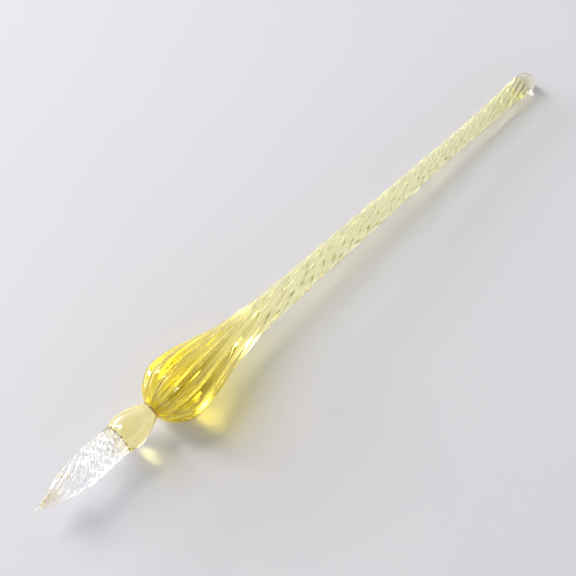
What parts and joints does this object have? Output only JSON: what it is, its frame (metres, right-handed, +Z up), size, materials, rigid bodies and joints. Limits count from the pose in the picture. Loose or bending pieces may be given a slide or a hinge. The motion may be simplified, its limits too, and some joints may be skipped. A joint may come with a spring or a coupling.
{
  "type": "glass dip pen",
  "caption": "Glass dip pen with a clear spiral-fluted nib, a small bead, a ribbed golden bulb for the grip and a slender twisted shaft with a rounded end.",
  "frame": {"origin": "on the surface that the pen lies on, under the middle of its bounding box", "axes": "+X along the pen from the nib towards the finial, +Z up; the pen rests on two ribs of its bulb and on its far end, so its own axis falls slightly towards +X"},
  "size_m": [0.1798, 0.017, 0.0169],
  "materials": {
    "clear_glass": "clear fire-polished glass with spiral flutes",
    "amber_glass": "dark amber seam glass, fire polished",
    "pale_glass": "pale khaki-yellow glass, fire polished",
    "yellow_glass": "golden-yellow glass with pressed and twisted ribs",
    "end_glass": "pale yellow glass drop, fire polished"
  },
  "bodies": {
    "root": {"nib": "clear_glass", "nib_collar": "amber_glass", "bead": "pale_glass", "neck_ring": "amber_glass", "bulb": "yellow_glass", "shaft": "yellow_glass", "finial": "end_glass"}
  },
  "joints": []
}
